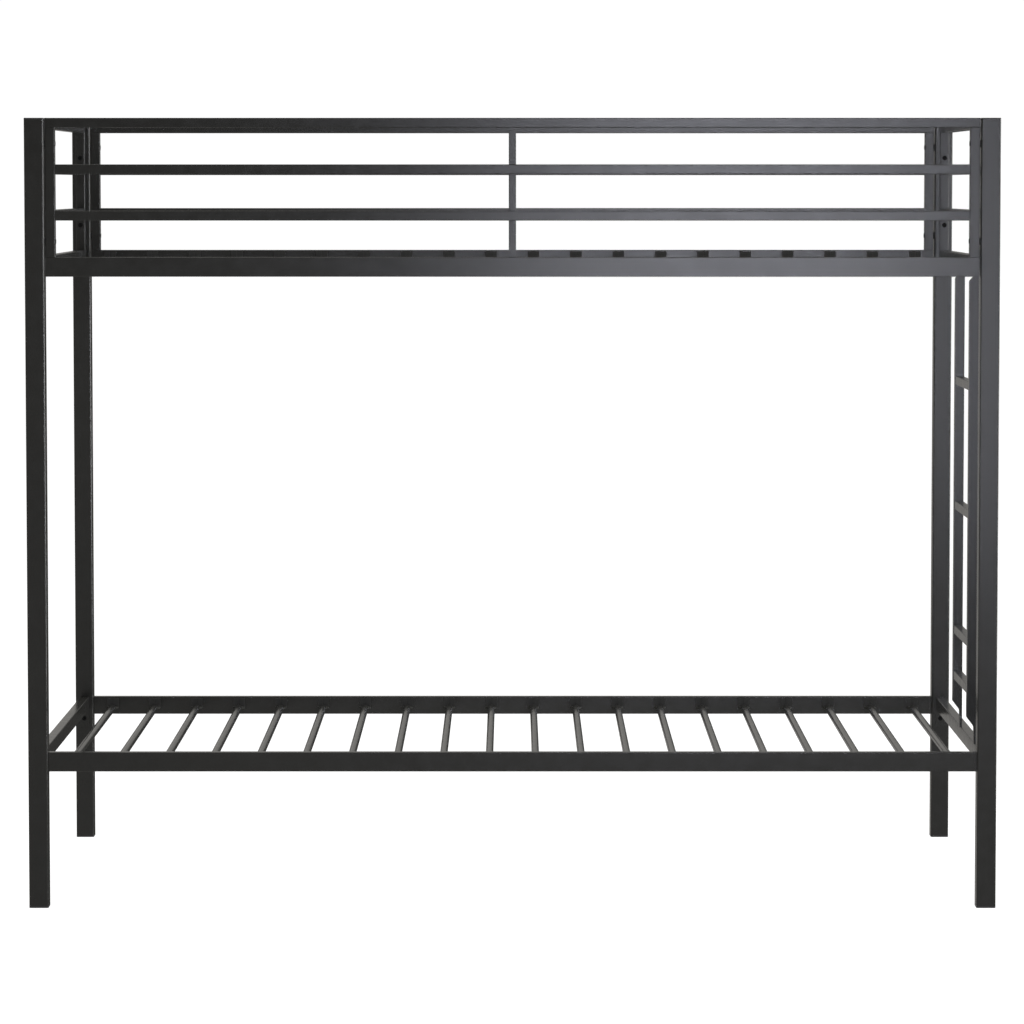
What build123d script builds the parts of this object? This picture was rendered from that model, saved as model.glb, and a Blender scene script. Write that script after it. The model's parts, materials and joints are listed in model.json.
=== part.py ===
from build123d import *
import os

# Bunk bed with a fixed end ladder: a bolted frame of square, rectangular and round steel tube.
# Millimetres. +X runs along the bed towards the ladder end, +Y from the front side to the back
# side, +Z up. The origin is on the floor at the centre of the footprint.

# Overall size
bed_length = 2000.0
bed_width = 1092.0
bed_height = 1630.0

# Corner posts
post_size = 40.0
post_wall = 1.2
post_corner = 3.0
foot_flange = 4.0
cap_flange = 3.0
plug_depth = 18.0
plug_clearance = 0.2

# Lower bunk rails
lower_rail_top = 323.0
side_rail_height = 40.0
end_rail_height = 30.0
rail_depth = 20.0
rail_wall = 1.2
rail_corner = 1.5
side_plate_thickness = 4.0
end_plate_thickness = 4.0
end_lug_drop = 35.0
end_lug_bolt_drop = 18.5

# Upper bunk guard panels
deck_rail_top = 1345.0
guard_tube = 20.0
guard_wall = 1.0
guard_corner = 1.5
guard_bar_count = 2
guard_stud_width = 15.0
guard_post_gap = 2.0
side_guard_bolt_spread = 100.0
end_guard_bolt_spread = 76.0

# Slats
slat_count = 20
slat_pitch = 96.4
slat_diameter = 16.0
slat_wall = 1.0
slat_below_rail_top = 25.0
slat_tab_width = 26.0
slat_tab_thickness = 4.5
slat_tab_below_rail_top = 3.0
slat_flattening = 14.0
slat_bend_radius = 2.0
slat_crease_width = 2.5
slat_crease_depth = 2.4

# Ladder
ladder_inset = 145.5
ladder_width = 330.0
leg_size = 20.0
leg_wall = 1.2
leg_rail_overlap = 2.0
leg_tab_thickness = 5.0
leg_foot_tab = 37.0
leg_head_tab = 4.0
leg_foot_taper = 20.0
leg_head_taper = 18.0
leg_taper_radius = 8.0
rung_size = 18.0
rung_wall = 1.2
rung_corner = 1.5
rung_pitch = 268.7
top_rung_below_deck = 271.5
low_rung_below = 99.0

# Fasteners
bolt_diameter = 6.0
bolt_head_diameter = 10.5
bolt_head_height = 1.0
bolt_socket = 4.0
bolt_socket_depth = 2.8
bolt_hole = 6.6
bolt_past_nut = 2.0
nut_across_flats = 10.0
nut_height = 5.0
nut_bore = 6.2
spacer_diameter = 16.0
rail_bolt_diameter = 8.0
rail_bolt_hole = 8.6
rail_bolt_head_diameter = 13.0
rail_bolt_head_height = 4.5
rail_bolt_reach = 8.0
plate_thread = 8.2
access_hole = 15.0
access_clearance = 0.1
access_lip = 1.5

# Levels and positions that follow from the sizes above
half_length = bed_length / 2
half_width = bed_width / 2
post_x = half_length - post_size / 2
post_y = half_width - post_size / 2
plug_size = post_size - 2 * post_wall - 2 * plug_clearance
plug_corner = post_corner - post_wall
post_inner_x = half_length - post_size
post_inner_y = half_width - post_size
rail_inner_y = post_y - rail_depth / 2
rail_inner_x = post_x - rail_depth / 2
side_rail_z = lower_rail_top - side_rail_height / 2
end_rail_z = lower_rail_top - end_rail_height / 2
end_rail_bottom = lower_rail_top - end_rail_height
end_bolt_z = end_rail_bottom - end_lug_bolt_drop
panel_half = post_inner_x - guard_post_gap
top_bar_bottom = bed_height - guard_tube
guard_opening = top_bar_bottom - deck_rail_top
bar_gap = (guard_opening - guard_bar_count * guard_tube) / (guard_bar_count + 1)
bar_step = bar_gap + guard_tube
bar_levels = [deck_rail_top + bar_gap + bar_step * i + guard_tube / 2 for i in range(guard_bar_count)]
stud_starts = [deck_rail_top + bar_step * i for i in range(guard_bar_count + 1)]
upright_x = panel_half - guard_tube / 2
upright_y = post_inner_y - guard_tube / 2
guard_middle = (deck_rail_top + top_bar_bottom) / 2
side_bolt_levels = [guard_middle - side_guard_bolt_spread, guard_middle + side_guard_bolt_spread]
end_bolt_levels = [guard_middle - end_guard_bolt_spread, guard_middle + end_guard_bolt_spread]
ladder_front_y = -half_width + ladder_inset + leg_size / 2
ladder_back_y = ladder_front_y + ladder_width - leg_size
leg_outer_x = rail_inner_x + leg_rail_overlap
leg_inner_x = leg_outer_x - leg_size
leg_top = deck_rail_top - end_rail_height
rung_x = leg_outer_x - leg_size / 2
top_rung = deck_rail_top - top_rung_below_deck
rung_levels = [top_rung - rung_pitch * i for i in range(3)]
rung_levels.append(rung_levels[-1] - low_rung_below)
slat_start = -slat_pitch * (slat_count - 1) / 2
slat_places = [slat_start + slat_pitch * i for i in range(slat_count)]

side_signs = {"front": -1, "back": 1}
end_signs = {"left": -1, "right": 1}
corners = {f"{side}_{end}": (ex, sy) for side, sy in side_signs.items() for end, ex in end_signs.items()}

os.makedirs("parts", exist_ok=True)


def tube_section(wide, tall, wall, corner):
    """Draw a square or rectangular tube section in the sketch that is open."""
    RectangleRounded(wide, tall, corner)
    inside = max(corner - wall, 0.5)
    RectangleRounded(wide - 2 * wall, tall - 2 * wall, inside, mode=Mode.SUBTRACT)


# Posts: open square tubes with bolt holes in the two walls that face the bed, and an access hole
# in the outer end wall for the side rail bolt.
for corner, (ex, sy) in corners.items():
    with BuildPart() as post:
        with BuildSketch(Plane.XY.offset(foot_flange)):
            with Locations((ex * post_x, sy * post_y)):
                tube_section(post_size, post_size, post_wall, post_corner)
        extrude(amount=bed_height - foot_flange - cap_flange)
        with BuildSketch(Plane.YZ.offset(ex * post_inner_x)):
            with Locations(*[(sy * post_y, z) for z in side_bolt_levels]):
                Circle(bolt_hole / 2)
            with Locations((sy * post_y, side_rail_z)):
                Circle(rail_bolt_hole / 2)
        extrude(amount=ex * post_size / 2, mode=Mode.SUBTRACT)
        with BuildSketch(Plane.YZ.offset(ex * half_length)):
            with Locations((sy * post_y, side_rail_z)):
                Circle(access_hole / 2)
        extrude(amount=-ex * post_size / 2, mode=Mode.SUBTRACT)
        with BuildSketch(Plane.XZ.offset(-sy * post_inner_y)):
            with Locations(*[(ex * post_x, z) for z in end_bolt_levels + [end_bolt_z]]):
                Circle(bolt_hole / 2)
        extrude(amount=-sy * post_size / 2, mode=Mode.SUBTRACT)
    post.part.label = f"post_{corner}"
    export_step(post.part, f"parts/post_{corner}.step")

# Foot plugs: a flange that carries the post and a block that fills the end of the tube.
for corner, (ex, sy) in corners.items():
    with BuildPart() as foot_plug:
        with BuildSketch():
            with Locations((ex * post_x, sy * post_y)):
                RectangleRounded(post_size, post_size, post_corner)
        extrude(amount=foot_flange)
        chamfer(foot_plug.faces().sort_by(Axis.Z)[0].edges(), 0.8)
        with BuildSketch(Plane.XY.offset(foot_flange)):
            with Locations((ex * post_x, sy * post_y)):
                RectangleRounded(plug_size, plug_size, plug_corner)
        extrude(amount=plug_depth)
    foot_plug.part.label = f"foot_plug_{corner}"
    export_step(foot_plug.part, f"parts/foot_plug_{corner}.step")

# Post caps: the same at the top, with a shallow chamfer round the upper edge.
for corner, (ex, sy) in corners.items():
    with BuildPart() as post_cap:
        with BuildSketch(Plane.XY.offset(bed_height - cap_flange)):
            with Locations((ex * post_x, sy * post_y)):
                RectangleRounded(post_size, post_size, post_corner)
        extrude(amount=cap_flange)
        chamfer(post_cap.faces().sort_by(Axis.Z)[-1].edges(), 0.8)
        with BuildSketch(Plane.XY.offset(bed_height - cap_flange)):
            with Locations((ex * post_x, sy * post_y)):
                RectangleRounded(plug_size, plug_size, plug_corner)
        extrude(amount=-plug_depth)
    post_cap.part.label = f"post_cap_{corner}"
    export_step(post_cap.part, f"parts/post_cap_{corner}.step")

# Lower side rails, each with an end plate at both ends that takes the rail bolt.
rail_half = post_inner_x - side_plate_thickness
for side, sy in side_signs.items():
    with BuildPart() as side_rail:
        with BuildSketch(Plane.YZ.offset(-rail_half)):
            with Locations((sy * post_y, side_rail_z)):
                tube_section(rail_depth, side_rail_height, rail_wall, rail_corner)
        extrude(amount=2 * rail_half)
    side_rail.part.label = f"{side}_lower_rail"
    export_step(side_rail.part, f"parts/{side}_lower_rail.step")

with BuildPart() as side_rail_end_plates:
    for ex, sy in corners.values():
        with BuildSketch(Plane.YZ.offset(ex * rail_half)):
            with Locations((sy * post_y, side_rail_z)):
                RectangleRounded(rail_depth, side_rail_height, rail_corner)
                Circle(plate_thread / 2, mode=Mode.SUBTRACT)
        extrude(amount=ex * side_plate_thickness)
side_rail_end_plates.part.label = "side_rail_end_plates"
export_step(side_rail_end_plates.part, "parts/side_rail_end_plates.step")

# Lower end rails, each with an end plate that reaches below the rail as a bolting lug.
end_rail_half = post_inner_y - end_plate_thickness
for end, ex in end_signs.items():
    with BuildPart() as end_rail:
        with BuildSketch(Plane.XZ.offset(-end_rail_half)):
            with Locations((ex * post_x, end_rail_z)):
                tube_section(rail_depth, end_rail_height, rail_wall, rail_corner)
        extrude(amount=2 * end_rail_half)
    end_rail.part.label = f"{end}_lower_end_rail"
    export_step(end_rail.part, f"parts/{end}_lower_end_rail.step")

lug_height = end_rail_height + end_lug_drop
with BuildPart() as end_rail_end_plates:
    for ex, sy in corners.values():
        with BuildSketch(Plane.XZ.offset(-sy * end_rail_half)):
            with Locations((ex * post_x, lower_rail_top - lug_height / 2)):
                RectangleRounded(rail_depth, lug_height, rail_corner)
            with Locations((ex * post_x, end_bolt_z)):
                Circle(bolt_hole / 2, mode=Mode.SUBTRACT)
        extrude(amount=-sy * end_plate_thickness)
end_rail_end_plates.part.label = "end_rail_end_plates"
export_step(end_rail_end_plates.part, "parts/end_rail_end_plates.step")

# Side guard panels: deck rail, top bar, two bars, two end uprights and three short centre studs.
for side, sy in side_signs.items():
    with BuildPart() as deck_rail:
        with BuildSketch(Plane.YZ.offset(-panel_half)):
            with Locations((sy * post_y, deck_rail_top - side_rail_height / 2)):
                tube_section(rail_depth, side_rail_height, rail_wall, rail_corner)
        extrude(amount=2 * panel_half)
    deck_rail.part.label = f"{side}_deck_rail"
    export_step(deck_rail.part, f"parts/{side}_deck_rail.step")
    long_bars = {f"{side}_guard_top_bar": (bed_height - guard_tube / 2, panel_half)}
    for i, z in enumerate(bar_levels):
        long_bars[f"{side}_guard_bar_{i + 1}"] = (z, panel_half - guard_tube)
    for name, (z, reach) in long_bars.items():
        with BuildPart() as long_bar:
            with BuildSketch(Plane.YZ.offset(-reach)):
                with Locations((sy * post_y, z)):
                    tube_section(guard_tube, guard_tube, guard_wall, guard_corner)
            extrude(amount=2 * reach)
        long_bar.part.label = name
        export_step(long_bar.part, f"parts/{name}.step")
    for end, ex in end_signs.items():
        with BuildPart() as side_upright:
            with BuildSketch(Plane.XY.offset(deck_rail_top)):
                with Locations((ex * upright_x, sy * post_y)):
                    tube_section(guard_tube, guard_tube, guard_wall, guard_corner)
            extrude(amount=guard_opening)
            with BuildSketch(Plane.YZ.offset(ex * upright_x - guard_tube)):
                with Locations(*[(sy * post_y, z) for z in side_bolt_levels]):
                    Circle(bolt_hole / 2)
            extrude(amount=2 * guard_tube, mode=Mode.SUBTRACT)
        side_upright.part.label = f"{side}_guard_upright_{end}"
        export_step(side_upright.part, f"parts/{side}_guard_upright_{end}.step")
    with BuildPart() as centre_studs:
        for start in stud_starts:
            with BuildSketch(Plane.XY.offset(start)):
                with Locations((0, sy * post_y)):
                    tube_section(guard_stud_width, guard_tube, guard_wall, guard_corner)
            extrude(amount=bar_gap)
    centre_studs.part.label = f"{side}_guard_centre_studs"
    export_step(centre_studs.part, f"parts/{side}_guard_centre_studs.step")

# End guard panels: deck end rail, top bar, two bars and two uprights that stand against the posts.
for end, ex in end_signs.items():
    with BuildPart() as deck_end_rail:
        with BuildSketch(Plane.XZ.offset(-post_inner_y)):
            with Locations((ex * post_x, deck_rail_top - end_rail_height / 2)):
                tube_section(rail_depth, end_rail_height, rail_wall, rail_corner)
        extrude(amount=2 * post_inner_y)
    deck_end_rail.part.label = f"{end}_deck_end_rail"
    export_step(deck_end_rail.part, f"parts/{end}_deck_end_rail.step")
    cross_bars = {f"{end}_guard_top_bar": (bed_height - guard_tube / 2, post_inner_y)}
    for i, z in enumerate(bar_levels):
        cross_bars[f"{end}_guard_bar_{i + 1}"] = (z, post_inner_y - guard_tube)
    for name, (z, reach) in cross_bars.items():
        with BuildPart() as cross_bar:
            with BuildSketch(Plane.XZ.offset(-reach)):
                with Locations((ex * post_x, z)):
                    tube_section(guard_tube, guard_tube, guard_wall, guard_corner)
            extrude(amount=2 * reach)
        cross_bar.part.label = name
        export_step(cross_bar.part, f"parts/{name}.step")
    for side, sy in side_signs.items():
        with BuildPart() as end_upright:
            with BuildSketch(Plane.XY.offset(deck_rail_top)):
                with Locations((ex * post_x, sy * upright_y)):
                    tube_section(guard_tube, guard_tube, guard_wall, guard_corner)
            extrude(amount=guard_opening)
            with BuildSketch(Plane.XZ.offset(-sy * upright_y - guard_tube)):
                with Locations(*[(ex * post_x, z) for z in end_bolt_levels]):
                    Circle(bolt_hole / 2)
            extrude(amount=2 * guard_tube, mode=Mode.SUBTRACT)
        end_upright.part.label = f"{end}_guard_upright_{side}"
        export_step(end_upright.part, f"parts/{end}_guard_upright_{side}.step")

# Slats: round tubes whose ends are flattened, turned up and fixed to the inner faces of the rails.
flat_start = rail_inner_y - slat_tab_thickness - slat_bend_radius
tube_half = flat_start - slat_flattening
half_tab = slat_tab_thickness / 2
tab_top = slat_below_rail_top - slat_tab_below_rail_top
with BuildPart() as slat:
    with BuildSketch(Plane.XZ.offset(-tube_half)):
        Circle(slat_diameter / 2)
    extrude(amount=2 * tube_half)
    with BuildSketch(Plane.XZ.offset(-tube_half)):
        Circle(slat_diameter / 2 - slat_wall)
    extrude(amount=2 * tube_half, mode=Mode.SUBTRACT)
    for sy in side_signs.values():
        with BuildSketch(Plane.XZ.offset(-sy * tube_half)):
            Circle(slat_diameter / 2)
        with BuildSketch(Plane.XZ.offset(-sy * flat_start)):
            SlotOverall(slat_tab_width, slat_tab_thickness)
        loft()
        with BuildSketch(Plane.YZ.offset(-slat_tab_width / 2)) as bend:
            with BuildLine():
                Polyline(
                    (sy * flat_start, -half_tab),
                    (sy * rail_inner_y, -half_tab),
                    (sy * rail_inner_y, tab_top),
                    (sy * (rail_inner_y - slat_tab_thickness), tab_top),
                    (sy * (rail_inner_y - slat_tab_thickness), half_tab),
                    (sy * flat_start, half_tab),
                    close=True,
                )
            make_face()
            inner_corner = (sy * (rail_inner_y - slat_tab_thickness), half_tab)
            outer_corner = (sy * rail_inner_y, -half_tab)
            fillet(bend.vertices().sort_by_distance(inner_corner)[0], slat_bend_radius * 0.95)
            fillet(bend.vertices().sort_by_distance(outer_corner)[0], slat_tab_thickness)
        extrude(amount=slat_tab_width)
        with BuildSketch(Plane.XY.offset(half_tab + slat_bend_radius)):
            with Locations((0, sy * (rail_inner_y - slat_tab_thickness))):
                Rectangle(slat_crease_width, 2 * slat_crease_depth)
        extrude(amount=tab_top, mode=Mode.SUBTRACT)

for deck, rail_top in {"lower_deck_slats": lower_rail_top, "upper_deck_slats": deck_rail_top}.items():
    with BuildPart() as deck_slats:
        with Locations(*[(x, 0, rail_top - slat_below_rail_top) for x in slat_places]):
            add(slat.part)
    deck_slats.part.label = deck
    export_step(deck_slats.part, f"parts/{deck}.step")

# Ladder legs: square tubes flattened to a tab at both ends, standing on the lower end rail and
# meeting the underside of the deck end rail.
tab_inner_x = leg_outer_x - leg_tab_thickness
foot_tab_top = lower_rail_top + leg_foot_tab
head_tab_bottom = leg_top - leg_head_tab
body_bottom = foot_tab_top + leg_foot_taper
body_top = head_tab_bottom - leg_head_taper
for name, y in {"ladder_leg_front": ladder_front_y, "ladder_leg_back": ladder_back_y}.items():
    with BuildPart() as ladder_leg:
        with BuildSketch(Plane.XZ.offset(-y - leg_size / 2)) as leg_profile:
            with BuildLine():
                Polyline(
                    (leg_outer_x, lower_rail_top),
                    (leg_outer_x, leg_top),
                    (tab_inner_x, leg_top),
                    (tab_inner_x, head_tab_bottom),
                    (leg_inner_x, body_top),
                    (leg_inner_x, body_bottom),
                    (tab_inner_x, foot_tab_top),
                    (tab_inner_x, lower_rail_top),
                    close=True,
                )
            make_face()
            bends = [(leg_inner_x, body_top), (leg_inner_x, body_bottom), (tab_inner_x, foot_tab_top)]
            for bend_corner in bends:
                fillet(leg_profile.vertices().sort_by_distance(bend_corner)[0], leg_taper_radius)
        extrude(amount=leg_size)
        with BuildSketch(Plane.XY.offset(body_bottom)):
            with Locations((rung_x, y)):
                Rectangle(leg_size - 2 * leg_wall, leg_size - 2 * leg_wall)
        extrude(amount=body_top - body_bottom, mode=Mode.SUBTRACT)
    ladder_leg.part.label = name
    export_step(ladder_leg.part, f"parts/{name}.step")

# Rungs: square tubes between the legs, numbered from the top.
rung_half = (ladder_width - 2 * leg_size) / 2
rung_middle_y = (ladder_front_y + ladder_back_y) / 2
for i, z in enumerate(rung_levels):
    with BuildPart() as rung:
        with BuildSketch(Plane.XZ.offset(-rung_middle_y - rung_half)):
            with Locations((rung_x, z)):
                tube_section(rung_size, rung_size, rung_wall, rung_corner)
        extrude(amount=2 * rung_half)
    rung.part.label = f"ladder_rung_{i + 1}"
    export_step(rung.part, f"parts/ladder_rung_{i + 1}.step")

# Panel bolts: low heads with a hexagon socket. Each one starts on the inner face of an upright or
# of a lug and runs through the post wall into a nut inside the post.
toward = {"x-": (0, -90, 0), "x+": (0, 90, 0), "y-": (90, 0, 0), "y+": (-90, 0, 0)}
x_turn = {-1: toward["x-"], 1: toward["x+"]}
y_turn = {-1: toward["y-"], 1: toward["y+"]}
nut_stack = post_wall + nut_height + bolt_past_nut
bolt_sets = {
    "side_guard_bolts": (
        guard_tube + guard_post_gap + nut_stack,
        [
            Location((ex * (panel_half - guard_tube), sy * post_y, z), x_turn[ex])
            for ex, sy in corners.values()
            for z in side_bolt_levels
        ],
    ),
    "end_guard_bolts": (
        guard_tube + nut_stack,
        [
            Location((ex * post_x, sy * (post_inner_y - guard_tube), z), y_turn[sy])
            for ex, sy in corners.values()
            for z in end_bolt_levels
        ],
    ),
    "end_rail_bolts": (
        end_plate_thickness + nut_stack,
        [
            Location((ex * post_x, sy * end_rail_half, end_bolt_z), y_turn[sy])
            for ex, sy in corners.values()
        ],
    ),
}
for name, (reach, places) in bolt_sets.items():
    with BuildPart() as bolt:
        with BuildSketch():
            Circle(bolt_head_diameter / 2)
        extrude(amount=-bolt_head_height)
        fillet(bolt.faces().sort_by(Axis.Z)[0].edges(), bolt_head_height * 0.4)
        with BuildSketch():
            Circle(bolt_diameter / 2)
        extrude(amount=reach)
        with BuildSketch(Plane.XY.offset(-bolt_head_height)):
            RegularPolygon(bolt_socket / 2, 6, major_radius=False)
        extrude(amount=bolt_socket_depth, mode=Mode.SUBTRACT)
    with BuildPart() as bolt_set:
        with Locations(*places):
            add(bolt.part)
    bolt_set.part.label = name
    export_step(bolt_set.part, f"parts/{name}.step")

# Nuts fixed to the inside of the post walls, one for each panel bolt.
nut_x = post_inner_x + post_wall
nut_y = post_inner_y + post_wall
nut_places = [
    Location((ex * nut_x, sy * post_y, z), x_turn[ex])
    for ex, sy in corners.values()
    for z in side_bolt_levels
] + [
    Location((ex * post_x, sy * nut_y, z), y_turn[sy])
    for ex, sy in corners.values()
    for z in end_bolt_levels + [end_bolt_z]
]
with BuildPart() as nut:
    with BuildSketch():
        RegularPolygon(nut_across_flats / 2, 6, major_radius=False)
        Circle(nut_bore / 2, mode=Mode.SUBTRACT)
    extrude(amount=nut_height)

with BuildPart() as post_nuts:
    with Locations(*nut_places):
        add(nut.part)
post_nuts.part.label = "post_nuts"
export_step(post_nuts.part, "parts/post_nuts.step")

# Spacers that hold the side guard panels off the posts.
with BuildPart() as guard_spacers:
    for ex, sy in corners.values():
        with BuildSketch(Plane.YZ.offset(ex * panel_half)):
            with Locations(*[(sy * post_y, z) for z in side_bolt_levels]):
                Circle(spacer_diameter / 2)
                Circle(bolt_hole / 2, mode=Mode.SUBTRACT)
        extrude(amount=ex * guard_post_gap)
guard_spacers.part.label = "guard_spacers"
export_step(guard_spacers.part, "parts/guard_spacers.step")

# Side rail bolts: the head bears on the inside of the post wall and the shank screws into the
# end plate of the rail.
rail_bolt_places = [
    Location((ex * nut_x, sy * post_y, side_rail_z), x_turn[-ex]) for ex, sy in corners.values()
]
with BuildPart() as rail_bolt:
    with BuildSketch():
        Circle(rail_bolt_head_diameter / 2)
    extrude(amount=-rail_bolt_head_height)
    with BuildSketch():
        Circle(rail_bolt_diameter / 2)
    extrude(amount=post_wall + side_plate_thickness + rail_bolt_reach)

with BuildPart() as side_rail_bolts:
    with Locations(*rail_bolt_places):
        add(rail_bolt.part)
side_rail_bolts.part.label = "side_rail_bolts"
export_step(side_rail_bolts.part, "parts/side_rail_bolts.step")

# Plugs that close the access holes flush with the outer faces of the posts.
plug_places = [
    Location((ex * half_length, sy * post_y, side_rail_z), x_turn[-ex]) for ex, sy in corners.values()
]
with BuildPart() as access_plug:
    with BuildSketch():
        Circle(access_hole / 2 - access_clearance)
    extrude(amount=post_wall)
    with BuildSketch(Plane.XY.offset(post_wall)):
        Circle(access_hole / 2 + access_lip)
    extrude(amount=access_lip)

with BuildPart() as access_plugs:
    with Locations(*plug_places):
        add(access_plug.part)
access_plugs.part.label = "access_plugs"
export_step(access_plugs.part, "parts/access_plugs.step")
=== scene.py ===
import json
import math

import bpy
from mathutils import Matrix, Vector


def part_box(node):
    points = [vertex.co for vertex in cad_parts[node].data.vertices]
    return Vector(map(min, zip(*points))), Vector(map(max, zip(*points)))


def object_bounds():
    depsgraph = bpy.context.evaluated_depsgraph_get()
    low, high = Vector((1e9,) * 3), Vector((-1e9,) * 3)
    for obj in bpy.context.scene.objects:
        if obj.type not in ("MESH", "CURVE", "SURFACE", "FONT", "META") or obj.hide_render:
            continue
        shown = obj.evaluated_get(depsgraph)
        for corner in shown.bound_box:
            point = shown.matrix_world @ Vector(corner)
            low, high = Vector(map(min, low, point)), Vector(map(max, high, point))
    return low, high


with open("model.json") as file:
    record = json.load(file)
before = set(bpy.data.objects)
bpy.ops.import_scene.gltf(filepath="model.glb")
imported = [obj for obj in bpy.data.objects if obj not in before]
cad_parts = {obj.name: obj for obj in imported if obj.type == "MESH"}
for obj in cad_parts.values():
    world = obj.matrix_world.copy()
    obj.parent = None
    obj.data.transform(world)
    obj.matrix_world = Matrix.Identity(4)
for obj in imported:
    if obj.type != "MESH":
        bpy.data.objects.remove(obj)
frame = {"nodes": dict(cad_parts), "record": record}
CAD_BOX = [list(corner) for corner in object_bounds()]
FRONT_FACE = CAD_BOX[0][1]
NODES = frame["nodes"]
SLOT_OF = {part["node"]: part["material_slot"] for part in frame["record"]["subparts"]}
SCENE = bpy.context.scene


# ---------------------------------------------------------------- node helpers
class Graph:
    """Adds nodes to one node tree and links them."""

    def __init__(self, tree):
        self.tree = tree
        self.tree.nodes.clear()

    def add(self, kind, **settings):
        node = self.tree.nodes.new(kind)
        for key, value in settings.items():
            setattr(node, key, value)
        return node

    def link(self, source, target):
        self.tree.links.new(source, target)

    def spread(self, source, low, high, start=0.0, end=1.0, curve="LINEAR"):
        """Turns start..end into low..high, and stays at low or high outside that range."""
        node = self.add("ShaderNodeMapRange", interpolation_type=curve)
        for key, value in (("From Min", start), ("From Max", end), ("To Min", low), ("To Max", high)):
            node.inputs[key].default_value = value
        self.link(source, node.inputs["Value"])
        return node.outputs["Result"]

    def maths(self, operation, first, second=0.0):
        node = self.add("ShaderNodeMath", operation=operation)
        for socket, value in zip(node.inputs, (first, second)):
            if isinstance(value, float):
                socket.default_value = value
            else:
                self.link(value, socket)
        return node.outputs["Value"]

    def axes(self, vector):
        node = self.add("ShaderNodeSeparateXYZ")
        self.link(vector, node.inputs["Vector"])
        return node.outputs["X"], node.outputs["Y"], node.outputs["Z"]


class MaterialGraph(Graph):
    """One Principled material, with its textures in the part's own coordinates in metres."""

    def __init__(self, name):
        self.material = bpy.data.materials.new(name)
        self.material.use_nodes = True
        super().__init__(self.material.node_tree)
        self.shader = self.add("ShaderNodeBsdfPrincipled")
        output = self.add("ShaderNodeOutputMaterial")
        self.link(self.shader.outputs["BSDF"], output.inputs["Surface"])
        self.place = self.add("ShaderNodeTexCoord").outputs["Object"]

    def feed(self, socket, source):
        self.link(source, self.shader.inputs[socket])

    def fix(self, socket, value):
        self.shader.inputs[socket].default_value = value

    def noise(self, scale, detail=2.0, roughness=0.5, stretch=None):
        node = self.add("ShaderNodeTexNoise")
        node.inputs["Scale"].default_value = scale
        node.inputs["Detail"].default_value = detail
        node.inputs["Roughness"].default_value = roughness
        source = self.place
        if stretch:
            mapping = self.add("ShaderNodeMapping")
            mapping.inputs["Scale"].default_value = stretch
            self.link(source, mapping.inputs["Vector"])
            source = mapping.outputs["Vector"]
        self.link(source, node.inputs["Vector"])
        return node.outputs["Fac"]

    def mix(self, factor, first, second):
        node = self.add("ShaderNodeMix", data_type="RGBA")
        self.link(factor, node.inputs["Factor"])
        for socket, colour in ((node.inputs["A"], first), (node.inputs["B"], second)):
            if isinstance(colour, tuple):
                socket.default_value = (*colour, 1.0)
            else:
                self.link(colour, socket)
        return node.outputs["Result"]

    def bump(self, height, strength, distance, normal=None):
        node = self.add("ShaderNodeBump")
        node.inputs["Strength"].default_value = strength
        node.inputs["Distance"].default_value = distance
        self.link(height, node.inputs["Height"])
        if normal is not None:
            self.link(normal, node.inputs["Normal"])
        return node.outputs["Normal"]

    def edges(self, radius):
        """0 on flat faces and up to 1 on outer edges and corners."""
        bevel = self.add("ShaderNodeBevel", samples=4)
        bevel.inputs["Radius"].default_value = radius
        geometry = self.add("ShaderNodeNewGeometry")
        dot = self.add("ShaderNodeVectorMath", operation="DOT_PRODUCT")
        self.link(bevel.outputs["Normal"], dot.inputs[0])
        self.link(geometry.outputs["Normal"], dot.inputs[1])
        return self.spread(dot.outputs["Value"], 1.0, 0.0, 0.75, 0.995)


def scaled(colour, factor, lift=0.0):
    return tuple(channel * factor + lift for channel in colour)


# ---------------------------------------------------------------- materials
SLAT_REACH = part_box("lower_deck_slats")[1][1]
MATT_FROM_END = (0.026, 0.017)  # the coat turns matt between these distances from a slat's end
MATT_ROUGHNESS = 0.60
COAT_ROUGHNESS_SPREAD = 0.03


def powder_coat(name, colour, worn, roughness, matt_ends=False):
    """Semi-gloss black powder coat: fine orange peel, slight mottling and rubbed edges."""
    g = MaterialGraph(name)
    cloud = g.noise(3.0, 3.0)
    mottle = g.noise(38.0, 4.0, 0.6)
    peel = g.noise(700.0, 2.0, 0.45)
    swell = g.noise(150.0, 1.0)
    scuffs = g.noise(60.0, 6.0, 0.7, (1.0, 1.0, 0.35))
    rub = g.maths("MULTIPLY", g.edges(0.0012), g.spread(scuffs, 0.0, 0.8, 0.42, 0.68))
    base = g.mix(g.spread(cloud, 0.0, 1.0, 0.35, 0.65), scaled(colour, 0.86), colour)
    base = g.mix(g.spread(mottle, 0.0, 0.45, 0.4, 0.75), base, scaled(colour, 1.35))
    g.feed("Base Color", g.mix(rub, base, worn))
    smoothest, roughest = roughness - COAT_ROUGHNESS_SPREAD, roughness + COAT_ROUGHNESS_SPREAD
    rough = g.spread(mottle, smoothest, roughest, 0.3, 0.7)
    if matt_ends:
        position = g.add("ShaderNodeNewGeometry").outputs["Position"]
        along = g.maths("ABSOLUTE", g.axes(position)[1])
        start, end = (SLAT_REACH - distance for distance in MATT_FROM_END)
        rough = g.maths("MAXIMUM", rough, g.spread(along, 0.0, MATT_ROUGHNESS, start, end))
    g.feed("Roughness", g.maths("ADD", rough, g.maths("MULTIPLY", rub, 0.12)))
    g.feed("Normal", g.bump(peel, 0.12, 0.00012, g.bump(swell, 0.08, 0.0004)))
    g.fix("Specular IOR Level", 0.5)
    return g.material


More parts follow.
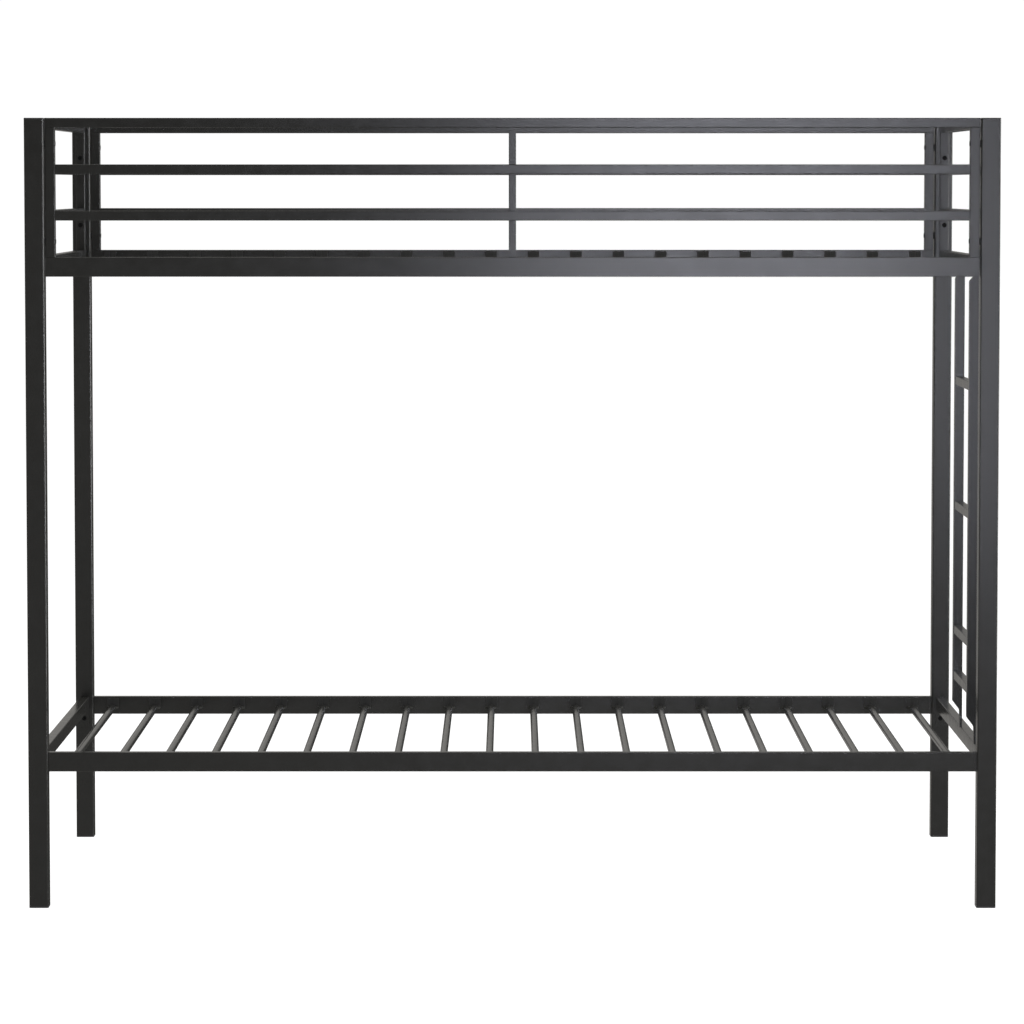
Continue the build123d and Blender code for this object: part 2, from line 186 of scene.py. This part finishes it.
def moulded_plastic(name, colour):
    """Black moulded plastic: satin grain with a slightly polished rim."""
    g = MaterialGraph(name)
    grain = g.noise(900.0, 3.0, 0.6)
    cloud = g.noise(24.0, 3.0)
    g.feed("Base Color", g.mix(g.spread(cloud, 0.0, 1.0, 0.35, 0.65), colour, scaled(colour, 1.4)))
    rough = g.spread(cloud, 0.46, 0.58, 0.3, 0.7)
    polished = g.maths("MULTIPLY", g.edges(0.0008), 0.14)
    g.feed("Roughness", g.maths("SUBTRACT", rough, polished))
    g.feed("Normal", g.bump(grain, 0.18, 0.00008))
    return g.material


def turned_steel(name, colour, metallic, roughness, specular=0.5):
    """Blackened or plated steel with fine turning marks and brighter rubbed edges."""
    g = MaterialGraph(name)
    marks = g.noise(260.0, 4.0, 0.6, (1.0, 1.0, 6.0))
    cloud = g.noise(90.0, 3.0)
    rub = g.maths("MULTIPLY", g.edges(0.0006), g.spread(cloud, 0.1, 0.9, 0.35, 0.7))
    g.feed("Base Color", g.mix(rub, colour, scaled(colour, 3.0, 0.02)))
    g.fix("Metallic", metallic)
    g.fix("Specular IOR Level", specular)
    g.feed("Roughness", g.spread(marks, roughness - 0.07, roughness + 0.1, 0.3, 0.7))
    g.feed("Normal", g.bump(marks, 0.15, 0.00006))
    return g.material


MATERIALS = {
    "frame_paint": powder_coat("frame_paint_look", (0.0110, 0.0110, 0.0100), (0.050, 0.048, 0.045), 0.23),
    "slat_paint": powder_coat(
        "slat_paint_look", (0.0112, 0.0112, 0.0101), (0.060, 0.058, 0.052), 0.16, matt_ends=True
    ),
    "plastic": moulded_plastic("plastic_look", (0.0130, 0.0130, 0.0135)),
    "bolt": turned_steel("bolt_look", (0.0035, 0.0035, 0.0035), 0.0, 0.60, 0.12),
    "nut": turned_steel("nut_look", (0.32, 0.32, 0.33), 1.0, 0.38),
}

for node_name, thing in NODES.items():
    thing.data.materials.clear()
    thing.data.materials.append(MATERIALS[SLOT_OF[node_name]])


# ---------------------------------------------------------------- camera
CAMERA_DISTANCE = 9.5703  # from the lens to the front faces of the posts
CAMERA_HEIGHT = 1.4955
CAMERA_SIDE_STEP = -0.0009
CAMERA_DIP = math.radians(4.027)
SENSOR_WIDTH = 36.0
LENS = 163.95
FAR_LIMIT = 60.0


def place_camera():
    data = bpy.data.cameras.new("camera")
    data.sensor_width = SENSOR_WIDTH
    data.lens = LENS
    data.clip_end = FAR_LIMIT
    camera = bpy.data.objects.new("camera", data)
    SCENE.collection.objects.link(camera)
    camera.location = (CAMERA_SIDE_STEP, FRONT_FACE - CAMERA_DISTANCE, CAMERA_HEIGHT)
    camera.rotation_euler = (math.radians(90.0) - CAMERA_DIP, 0.0, 0.0)
    SCENE.camera = camera


place_camera()

# ---------------------------------------------------------------- floor
FLOOR_REACH = 60.0
FLOOR_GREYS = ((0.10, 0.10, 0.10), (0.12, 0.12, 0.12))
FLOOR_GLOW = 0.96


def lay_floor():
    """A flat floor that is white by its own glow, so shadows stay faint and it is plain to the horizon."""
    mesh = bpy.data.meshes.new("floor")
    turn = ((-1, -1), (1, -1), (1, 1), (-1, 1))
    corners = [(FLOOR_REACH * x, FLOOR_REACH * y, 0.0) for x, y in turn]
    mesh.from_pydata(corners, [], [(0, 1, 2, 3)])
    floor = bpy.data.objects.new("floor", mesh)
    SCENE.collection.objects.link(floor)
    g = MaterialGraph("floor_look")
    g.feed("Base Color", g.mix(g.noise(6.0, 4.0), *FLOOR_GREYS))
    g.fix("Roughness", 0.9)
    g.fix("Specular IOR Level", 0.1)
    g.fix("Emission Color", (1.0, 1.0, 1.0, 1.0))
    g.fix("Emission Strength", FLOOR_GLOW)
    mesh.materials.append(g.material)
    floor.visible_glossy = False
    return floor


floor = lay_floor()

# ---------------------------------------------------------------- lights
COOL = (0.87, 0.885, 1.0)
WHITE = (1.0, 1.0, 1.0)
KEY_DISTANCE = 5.0  # from the lamp to the front faces of the posts
KEY_SIDE_STEP = 0.72
KEY_HEIGHT = 1.215
KEY_SIZE = (1.38, 1.77)
KEY_POWER = 44.0
SIDE_POWER = 380.0
TOP_POWER = 900.0


def area_light(name, place, target, size, power, colour=WHITE):
    data = bpy.data.lights.new(name, "AREA")
    data.shape = "RECTANGLE"
    data.size, data.size_y = size
    data.energy = power
    data.color = colour
    lamp = bpy.data.objects.new(name, data)
    SCENE.collection.objects.link(lamp)
    lamp.location = place
    lamp.rotation_euler = (Vector(target) - Vector(place)).to_track_quat("-Z", "Y").to_euler()
    lamp.visible_camera = False
    return lamp


def key_light():
    """A soft box in front and to the right. Only the slats shade it.

    Multiple importance sampling is off, because with it the whole frame would shade the gloss.
    """
    place = (KEY_SIDE_STEP, FRONT_FACE - KEY_DISTANCE, KEY_HEIGHT)
    lamp = area_light("key_light", place, (KEY_SIDE_STEP, 0.0, KEY_HEIGHT), KEY_SIZE, KEY_POWER, COOL)
    slats_only = bpy.data.collections.new("slats_only")
    for deck in ("lower_deck_slats", "upper_deck_slats"):
        slats_only.objects.link(NODES[deck])
    lamp.light_linking.blocker_collection = slats_only
    lamp.data.cycles.use_multiple_importance_sampling = False


key_light()
side_light = area_light("side_light", (6.0, -0.4, 1.1), (0.0, -0.2, 0.9), (3.0, 2.6), SIDE_POWER)
side_light.data.use_shadow = False
top_light = area_light("top_light", (0.0, 0.5, 7.0), (0.0, 0.0, 0.0), (8.0, 6.0), TOP_POWER)
top_light.visible_glossy = False


# ---------------------------------------------------------------- studio walls
WARM = (1.0, 0.972, 0.925)
BACKDROP_GLOW = 1.02  # what the camera sees behind the bed


def studio_walls():
    """Soft light from all around. It depends on the direction: x is right, y is back and z is up.

    Behind the bed there is an upper wall and a low patch to the left, in front of it a low wall, and
    over it a ceiling. The camera sees only the plain backdrop.
    """
    world = bpy.data.worlds.new("studio")
    SCENE.world = world
    world.use_nodes = True
    g = Graph(world.node_tree)
    x, y, z = g.axes(g.add("ShaderNodeTexCoord").outputs["Generated"])

    def fade(axis, start, end, low, high):
        """low at the direction start and high at the direction end, with a smooth change between."""
        return g.spread(axis, low, high, start, end, "SMOOTHSTEP")

    back_wall = g.maths("MULTIPLY", fade(z, 0.02, 0.10, 0.0, 1.0), fade(x, -0.12, 0.02, 0.46, 0.355))
    low_left = g.maths("MULTIPLY", fade(z, 0.07, 0.01, 0.0, 1.0), fade(x, -0.02, -0.10, 0.05, 0.40))
    behind = g.maths("MULTIPLY", fade(y, -0.2, 0.5, 0.0, 1.0), g.maths("ADD", back_wall, low_left))
    before = g.maths("MULTIPLY", fade(y, 0.5, -0.2, 0.0, 1.0), fade(z, 0.04, -0.05, 0.10, 0.40))
    overhead = fade(z, 0.25, 0.85, 0.0, 0.50)
    walls = g.add("ShaderNodeBackground")
    walls.inputs["Color"].default_value = (*WARM, 1.0)
    g.link(g.maths("ADD", g.maths("ADD", behind, before), overhead), walls.inputs["Strength"])
    backdrop = g.add("ShaderNodeBackground")
    backdrop.inputs["Color"].default_value = (*WHITE, 1.0)
    backdrop.inputs["Strength"].default_value = BACKDROP_GLOW
    choose = g.add("ShaderNodeMixShader")
    g.link(g.add("ShaderNodeLightPath").outputs["Is Camera Ray"], choose.inputs["Fac"])
    g.link(walls.outputs["Background"], choose.inputs[1])
    g.link(backdrop.outputs["Background"], choose.inputs[2])
    g.link(choose.outputs["Shader"], g.add("ShaderNodeOutputWorld").inputs["Surface"])


studio_walls()
SCENE.view_settings.view_transform = "Standard"
